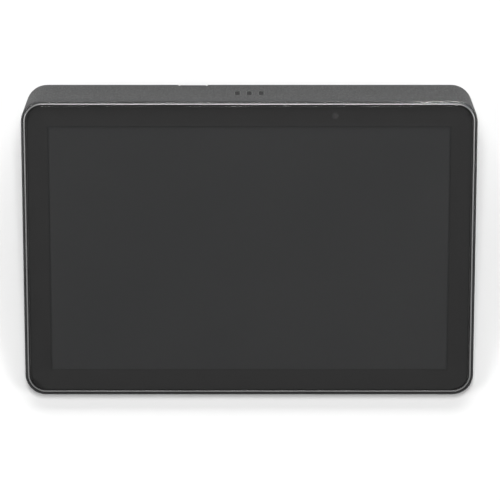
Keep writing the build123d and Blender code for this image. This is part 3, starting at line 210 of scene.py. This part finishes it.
class Finish(Nodes):
    """A new material, with the textures that the finishes are made of."""

    def __init__(self, name):
        self.material = bpy.data.materials.new(name)
        self.material.use_nodes = True
        super().__init__(self.material.node_tree)
        self.surface = self.tree.nodes["Principled BSDF"]
        self.output = self.tree.nodes["Material Output"].inputs["Surface"]
        self.place = self.node("ShaderNodeTexCoord").outputs["Object"]

    def set(self, **values):
        """Sets or links the main shader's sockets: underscores stand for spaces."""
        for key, value in values.items():
            self.feed(self.surface.inputs[key.replace("_", " ")], value)

    def stretched(self, x=1.0, y=1.0, z=1.0):
        """The place, scaled by axis, for grain that runs one way."""
        mapping = self.node("ShaderNodeMapping")
        self.feed(mapping.inputs["Vector"], self.place)
        mapping.inputs["Scale"].default_value = (x, y, z)
        return mapping.outputs[0]

    def noise(self, size_mm, detail=2.0, roughness=0.5, place=None, distortion=0.0):
        """Noise whose blotches are about size_mm across."""
        made = self.node("ShaderNodeTexNoise")
        self.feed(made.inputs["Vector"], place or self.place)
        made.inputs["Scale"].default_value = 1.0 / (size_mm * MM)
        made.inputs["Detail"].default_value = detail
        made.inputs["Roughness"].default_value = roughness
        made.inputs["Distortion"].default_value = distortion
        return made.outputs["Fac"]

    def cells(self, size_mm, **settings):
        """How far each point lies from the middle of its cell."""
        made = self.node("ShaderNodeTexVoronoi", **settings)
        self.feed(made.inputs["Vector"], self.place)
        made.inputs["Scale"].default_value = 1.0 / (size_mm * MM)
        return made.outputs["Distance"]

    def dots(self, size_mm, outer, inner):
        """1 inside a dot in each cell and 0 round it: both radii are shares of the cell."""
        return self.remap(self.cells(size_mm), outer, inner)

    def blend(self, share, first, second):
        """A mix of two colours."""
        made = self.node("ShaderNodeMix", data_type="RGBA")
        self.feed(made.inputs["Factor"], share)
        self.feed(made.inputs[COLOUR_A], first)
        self.feed(made.inputs[COLOUR_B], second)
        return made.outputs[COLOUR_OUT]

    def bump(self, height, depth_mm):
        made = self.node("ShaderNodeBump")
        made.inputs["Strength"].default_value = 1.0
        made.inputs["Distance"].default_value = depth_mm * MM
        self.feed(made.inputs["Height"], height)
        return made.outputs[0]

    def edges(self, radius_mm):
        """0 on flat stretches, rising to 1 on sharp edges."""
        bevel = self.node("ShaderNodeBevel", samples=4)
        bevel.inputs["Radius"].default_value = radius_mm * MM
        geometry = self.node("ShaderNodeNewGeometry")
        dot = self.node("ShaderNodeVectorMath", operation="DOT_PRODUCT")
        self.feed(dot.inputs[0], bevel.outputs[0])
        self.feed(dot.inputs[1], geometry.outputs["Normal"])
        return self.remap(dot.outputs["Value"], FLAT, SHARP)


def add_world():
    """A pale horizon under a dark ceiling, so that the screen stays dark from above."""
    world = bpy.data.worlds.new("studio")
    bpy.context.scene.world = world
    world.use_nodes = True
    world.node_tree.nodes.clear()
    room = Nodes(world.node_tree)
    direction = room.node("ShaderNodeSeparateXYZ")
    room.feed(direction.inputs[0], room.node("ShaderNodeTexCoord").outputs["Generated"])
    ramp = room.node("ShaderNodeValToRGB")
    room.feed(ramp.inputs[0], room.remap(direction.outputs["Z"], -1.0, 1.0))
    stops = (
        (DOWN, BELOW_LEVEL), (HORIZON, HORIZON_LEVEL), (LOW_SKY, LOW_SKY_LEVEL), (CEILING, CEILING_LEVEL)
    )
    while len(ramp.color_ramp.elements) < len(stops):
        ramp.color_ramp.elements.new(1.0)
    for element, (height, level) in zip(ramp.color_ramp.elements, stops):
        element.position = height
        element.color = (*grey(level), 1.0)
    surroundings = room.node("ShaderNodeBackground")
    share = room.remap(direction.outputs["Y"], -1.0, 1.0, FRONT_SHARE, BACK_SHARE)
    room.feed(surroundings.inputs["Color"], ramp.outputs[0])
    room.feed(surroundings.inputs["Strength"], share)
    backdrop = room.node("ShaderNodeBackground")
    room.feed(backdrop.inputs["Color"], grey(BACKDROP_LEVEL))
    seen = room.node("ShaderNodeLightPath").outputs["Is Camera Ray"]
    both = room.mix_shaders(seen, surroundings.outputs[0], backdrop.outputs[0])
    room.feed(room.node("ShaderNodeOutputWorld").inputs["Surface"], both)


# ---------------------------------------------------------------- finishes
def moulded_plastic(name, level, grain_mm=0.38, depth_mm=0.02, roughness=0.55, edge_wear_and_highlight=0.5, tint=0.015,
                    specular=0.15):
    """Plastic from a spark-eroded mould: a fine pitted grain, slight flow tone, and edges painted lighter,
    partly as worn plastic and partly as a painted highlight along rims and lips.
    """
    f = Finish(name)
    flow = f.noise(size_mm=38.0, detail=4.0, roughness=0.6)
    grain = f.noise(size_mm=grain_mm, detail=2.0, roughness=0.6)
    pits = f.cells(size_mm=grain_mm * 1.7)
    fleck = f.dots(size_mm=grain_mm * 2.6, outer=0.2, inner=0.1)
    edge = f.edges(EDGE_MM)
    body = f.blend(f.vary(flow), grey(level * 0.88, tint), grey(level * 1.1, tint))
    grained = f.blend(f.remap(grain, low=0.35, high=0.7), grey(level * 0.72, tint), body)
    flecked = f.blend(f.times(fleck, 0.5), grained, grey(level * 2.0, tint))
    # edges painted lighter: partly worn plastic, partly a painted highlight where rims and lips catch the
    # light
    worn_and_highlit_edges = f.blend(f.times(edge, edge_wear_and_highlight), flecked, grey(level * 2.6, tint))
    rough = f.vary(grain, roughness - 0.1, roughness + 0.14)
    polish = f.times(edge, 0.15)
    height = f.maths("ADD", grain, f.times(pits, 0.5))
    f.set(Base_Color=worn_and_highlit_edges, Roughness=f.maths("SUBTRACT", rough, polish))
    f.set(Normal=f.bump(height, depth_mm), Specular_IOR_Level=specular)
    return f.material


def satin_frame(name, dark, light, roughness, specular):
    """The frame round the glass: smoother than the housing, with a faint orange peel."""
    f = Finish(name)
    cloud = f.noise(size_mm=25.0)
    peel = f.noise(size_mm=1.6)
    fine = f.noise(size_mm=0.25, detail=1.0)
    f.set(Base_Color=f.blend(f.vary(cloud), grey(dark), grey(light)))
    f.set(Roughness=f.vary(peel, roughness, roughness + 0.04), Specular_IOR_Level=specular)
    f.set(Normal=f.bump(fine, depth_mm=0.002))
    return f.material


def clear_sheet(name, clearness, gloss, roughness, smear=0.0):
    """A thin clear sheet: it mirrors by Fresnel on its outer side and is clear behind that."""
    f = Finish(name)
    f.tree.nodes.remove(f.surface)
    clear = f.node("ShaderNodeBsdfTransparent")
    f.feed(clear.inputs["Color"], grey(clearness))
    shine = f.node("ShaderNodeBsdfGlossy")
    touch = f.noise(size_mm=9.0, detail=5.0, roughness=0.62, distortion=1.2)
    smeared = f.remap(touch, low=0.52, high=0.78, to_low=roughness, to_high=roughness + smear)
    f.feed(shine.inputs["Roughness"], smeared)
    fresnel = f.node("ShaderNodeFresnel")
    fresnel.inputs["IOR"].default_value = 1.5
    outer = f.maths("SUBTRACT", 1.0, f.node("ShaderNodeNewGeometry").outputs["Backfacing"])
    share = f.times(f.times(fresnel.outputs[0], outer), gloss)
    f.feed(f.output, f.mix_shaders(share, clear.outputs[0], shine.outputs[0]))
    return f.material


def printed_ink(name, dark, light):
    """Screen-printed black: dense, dull, with a trace of the mesh that laid it down."""
    f = Finish(name)
    mesh = f.noise(size_mm=0.18, detail=1.0)
    flow = f.noise(size_mm=14.0, detail=3.0)
    f.set(Base_Color=f.blend(f.vary(flow), grey(dark), grey(light)))
    f.set(Roughness=f.vary(mesh, 0.5, 0.62), Normal=f.bump(mesh, depth_mm=0.002))
    f.set(Specular_IOR_Level=0.1)
    return f.material


def panel_polariser(name, pixel_mm, pixel_levels, gap_level, haze_level):
    """The switched-off panel: dark grey under its polariser, with the pixel grid just there."""
    f = Finish(name)
    grid = f.node("ShaderNodeTexBrick", offset=0.0)
    f.feed(grid.inputs["Vector"], f.place)
    f.feed(grid.inputs["Scale"], 1.0 / (pixel_mm * MM))
    f.feed(grid.inputs["Brick Width"], 1.0)
    f.feed(grid.inputs["Row Height"], 1.0)
    f.feed(grid.inputs["Mortar Size"], 0.08)
    f.feed(grid.inputs["Mortar"], grey(gap_level))
    for key, level in zip(("Color1", "Color2"), pixel_levels):
        f.feed(grid.inputs[key], grey(level, tint=0.02))
    haze = f.noise(size_mm=60.0)
    f.set(Base_Color=f.blend(f.vary(haze, 0.0, 0.25), grid.outputs["Color"], grey(haze_level)))
    f.set(Roughness=f.vary(haze, 0.3, 0.36), Specular_IOR_Level=0.15)
    return f.material


def rubber(name, level):
    """Matt rubber with a cast skin and a little dust in it."""
    f = Finish(name)
    skin = f.noise(size_mm=0.6, detail=4.0, roughness=0.65)
    dust = f.noise(size_mm=5.0, detail=6.0, roughness=0.7)
    dusty = f.remap(dust, low=0.55, high=0.8, to_low=0.0, to_high=0.35)
    f.set(Base_Color=f.blend(dusty, grey(level), grey(level * 2.6)))
    f.set(Roughness=f.vary(skin, 0.72, 0.9), Normal=f.bump(skin, depth_mm=0.03))
    f.set(Specular_IOR_Level=0.3)
    return f.material


LINES_ALONG = {"x": {"x": 0.04}, "z": {"z": 0.08}}   # how much each axis is stretched


def brushed_metal(name, colour, roughness, along="x", depth_mm=0.003):
    """Sheet or turned metal with fine one-way lines and brighter edges."""
    f = Finish(name)
    place = f.stretched(**LINES_ALONG[along])
    lines = f.noise(size_mm=0.12, detail=3.0, roughness=0.7, place=place)
    cloud = f.noise(size_mm=11.0, detail=3.0)
    body = f.blend(f.vary(lines), scaled(colour, 0.78), colour)
    worn = f.times(f.edges(METAL_EDGE_MM), 0.4)
    f.set(Base_Color=f.blend(worn, body, scaled(colour, 1.3)), Metallic=1.0)
    rough = f.maths("ADD", f.vary(lines, -0.06, 0.08), f.vary(cloud, 0.0, 0.1))
    f.set(Roughness=f.maths("ADD", rough, roughness), Normal=f.bump(lines, depth_mm))
    return f.material


def polished_plastic(name, colour, roughness):
    """Gloss plastic with slight sink waves and hair scratches."""
    f = Finish(name)
    wave = f.noise(size_mm=2.5, detail=1.0)
    scratch = f.noise(size_mm=0.2, place=f.stretched(x=0.05))
    rough = f.remap(scratch, low=0.45, high=0.75, to_low=roughness, to_high=roughness + 0.12)
    f.set(Base_Color=f.blend(f.vary(wave), colour, scaled(colour, 1.25)))
    f.set(Roughness=rough, Normal=f.bump(wave, depth_mm=0.01))
    return f.material


def circuit_board(name, mask, trace_mask, plating):
    """Solder mask over copper: traces show as a slightly lighter maze, with plated dots."""
    f = Finish(name)
    trace = f.remap(f.cells(size_mm=1.1, distance="CHEBYCHEV"), low=0.28, high=0.32)
    via = f.dots(size_mm=2.7, outer=0.13, inner=0.1)
    weave = f.noise(size_mm=0.4, detail=1.0, place=f.stretched(y=0.2))
    f.set(Base_Color=f.blend(via, f.blend(trace, mask, trace_mask), plating), Metallic=via)
    f.set(Roughness=f.vary(weave, 0.28, 0.42), Normal=f.bump(trace, depth_mm=0.02))
    return f.material


def chip_package(name, level, fleck_level):
    """Black moulding compound with a frosted top and glass specks."""
    f = Finish(name)
    frost = f.noise(size_mm=0.12)
    fleck = f.dots(size_mm=0.35, outer=0.12, inner=0.05)
    f.set(Base_Color=f.blend(fleck, grey(level), grey(fleck_level)))
    f.set(Roughness=f.vary(frost, 0.45, 0.6), Normal=f.bump(frost, depth_mm=0.005))
    return f.material


def flexible_circuit(name, film, copper, lane_mm):
    """Amber film with copper lanes under it."""
    f = Finish(name)
    lanes = f.node("ShaderNodeTexWave", bands_direction="X")
    f.feed(lanes.inputs["Vector"], f.place)
    f.feed(lanes.inputs["Scale"], 1.0 / (lane_mm * MM))
    lane = f.remap(lanes.outputs["Fac"], low=0.4, high=0.6)
    f.set(Base_Color=f.blend(lane, film, copper))
    f.set(Roughness=f.vary(f.noise(size_mm=1.0), 0.18, 0.3), Normal=f.bump(lane, depth_mm=0.01))
    return f.material


def pressed_ferrite(name, dark, light):
    """Dark sintered ferrite, pitted and dull."""
    f = Finish(name)
    pit = f.noise(size_mm=0.3, detail=4.0, roughness=0.7)
    f.set(Base_Color=f.blend(f.remap(pit, low=0.35, high=0.65), grey(dark), grey(light)))
    f.set(Roughness=f.vary(pit, 0.55, 0.75), Normal=f.bump(pit, depth_mm=0.04))
    return f.material


def soft_foam(name, level):
    """Open-cell foam or a soft pad."""
    f = Finish(name)
    pore = f.cells(size_mm=0.5)
    f.set(Base_Color=f.blend(f.remap(pore, low=0.2, high=0.6), grey(level * 0.5), grey(level)))
    f.set(Roughness=0.95, Normal=f.bump(pore, depth_mm=0.12))
    return f.material


def acrylic(name, clear, milky):
    """The light guide: milky where its printed dots scatter light."""
    f = Finish(name)
    dot = f.dots(size_mm=0.9, outer=0.3, inner=0.2)
    f.set(Base_Color=f.blend(dot, clear, milky))
    f.set(Roughness=f.remap(dot, 0.0, 1.0, to_low=0.1, to_high=0.45), Coat_Weight=0.3)
    return f.material


FINISHES = {
    "cover_glass": (clear_sheet, dict(clearness=0.985, gloss=1.0, roughness=0.015, smear=0.05)),
    "border_ink": (printed_ink, dict(dark=0.0212, light=0.022)),
    "black_tape": (rubber, dict(level=0.012)),
    "clear_film": (clear_sheet, dict(clearness=0.985, gloss=0.12, roughness=0.05)),
    "lens_plastic": (polished_plastic, dict(colour=grey(0.036), roughness=0.2)),
    "gasket_rubber": (rubber, dict(level=0.008)),
    "panel_glass": (
        panel_polariser,
        dict(pixel_mm=0.1695, pixel_levels=(0.0365, 0.036), gap_level=0.024, haze_level=0.0385),
    ),
    "acrylic": (acrylic, dict(clear=(0.7, 0.72, 0.74), milky=(0.92, 0.93, 0.94))),
    "amber_film": (
        flexible_circuit, dict(film=(0.32, 0.12, 0.02), copper=(0.6, 0.26, 0.06), lane_mm=3.2)
    ),
    "sheet_steel": (brushed_metal, dict(colour=(0.56, 0.56, 0.54), roughness=0.32, depth_mm=0.004)),
    "soft_foam": (soft_foam, dict(level=0.06)),
    "circuit_board": (
        circuit_board,
        dict(mask=(0.012, 0.11, 0.05), trace_mask=(0.02, 0.2, 0.085), plating=(0.62, 0.5, 0.2)),
    ),
    "frame_plastic": (satin_frame, dict(dark=0.085, light=0.093, roughness=0.23, specular=0.8)),
    "housing_plastic": (
        moulded_plastic,
        dict(level=0.019, grain_mm=0.8, depth_mm=0.08, roughness=0.5, edge_wear_and_highlight=0.7, specular=0.13),
    ),
    "mark_plastic": (
        moulded_plastic, dict(level=0.006, grain_mm=0.2, depth_mm=0.01, roughness=0.7, edge_wear_and_highlight=0.0)
    ),
    "base_plastic": (moulded_plastic, dict(level=0.05, grain_mm=0.55, depth_mm=0.035, roughness=0.58)),
    "screw_steel": (brushed_metal, dict(colour=(0.3, 0.3, 0.31), roughness=0.34, along="z")),
    "foot_rubber": (rubber, dict(level=0.022)),
    "insert_brass": (brushed_metal, dict(colour=(0.78, 0.55, 0.22), roughness=0.25, along="z")),
    "chip_black": (chip_package, dict(level=0.018, fleck_level=0.05)),
    "thermal_pad": (soft_foam, dict(level=0.42)),
    "sink_aluminium": (brushed_metal, dict(colour=(0.68, 0.69, 0.7), roughness=0.36)),
    "ferrite": (pressed_ferrite, dict(dark=0.035, light=0.075)),
    "jack_plastic": (moulded_plastic, dict(level=0.02, grain_mm=0.25, depth_mm=0.01, roughness=0.35)),
    "plated_shell": (brushed_metal, dict(colour=(0.75, 0.74, 0.72), roughness=0.2)),
    "plunger_plastic": (polished_plastic, dict(colour=(0.7, 0.68, 0.62), roughness=0.3)),
    "connector_plastic": (moulded_plastic, dict(level=0.7, grain_mm=0.3, depth_mm=0.01, tint=-0.05)),
    "coax_jacket": (rubber, dict(level=0.015)),
}


def paint_nodes():
    """Gives every CAD node the finish of its slot in the record."""
    materials = {name: make(name, **settings) for name, (make, settings) in FINISHES.items()}
    for entry in RECORD["subparts"]:
        slots = NODES[entry["node"]].data.materials
        slots.clear()
        slots.append(materials[entry["material_slot"]])


# ---------------------------------------------------------------- floor
def floor_mesh():
    """A square sheet in five faces, the last of them a patch under the device."""
    low, high = CAD_BOX
    half = FLOOR_SIZE / 2
    outside = ((-half, -half), (half, -half), (half, half), (-half, half))
    west, east = low[0] + FLOOR_PATCH_INSET, high[0] - FLOOR_PATCH_INSET
    south, north = low[1] + FLOOR_PATCH_INSET, high[1] - FLOOR_PATCH_INSET
    inside = ((west, south), (east, south), (east, north), (west, north))
    mesh = bpy.data.meshes.new("floor")
    corners = [(x, y, 0.0) for x, y in outside + inside]
    faces = [(i, (i + 1) % 4, 4 + (i + 1) % 4, 4 + i) for i in range(4)] + [(4, 5, 6, 7)]
    mesh.from_pydata(corners, [], faces)
    mesh.polygons[-1].material_index = 1
    return mesh


def floor_paint(name, lets_light_up):
    """Pale paint, clear from below. The patch also lets light up to the device's underside."""
    f = Finish(name)
    tone = f.noise(size_mm=220.0, detail=3.0)
    f.set(Base_Color=f.blend(tone, grey(FLOOR_TONE * FLOOR_MOTTLE), grey(FLOOR_TONE)))
    f.set(Roughness=0.9, Specular_IOR_Level=0.1)
    clear_share = f.node("ShaderNodeNewGeometry").outputs["Backfacing"]
    if lets_light_up:
        unseen = f.maths("SUBTRACT", 1.0, f.node("ShaderNodeLightPath").outputs["Is Camera Ray"])
        clear_share = f.maths("MAXIMUM", clear_share, unseen)
    clear = f.node("ShaderNodeBsdfTransparent").outputs[0]
    f.feed(f.output, f.mix_shaders(clear_share, f.surface.outputs[0], clear))
    return f.material


def add_floor():
    floor = bpy.data.objects.new("floor", floor_mesh())
    bpy.context.scene.collection.objects.link(floor)
    floor.data.materials.append(floor_paint("floor_paint", lets_light_up=False))
    floor.data.materials.append(floor_paint("floor_patch", lets_light_up=True))


add_camera()
add_world()
add_softboxes()
add_accents()
add_under_fill()
add_floor()
paint_nodes()
bpy.context.scene.view_settings.view_transform = "Standard"
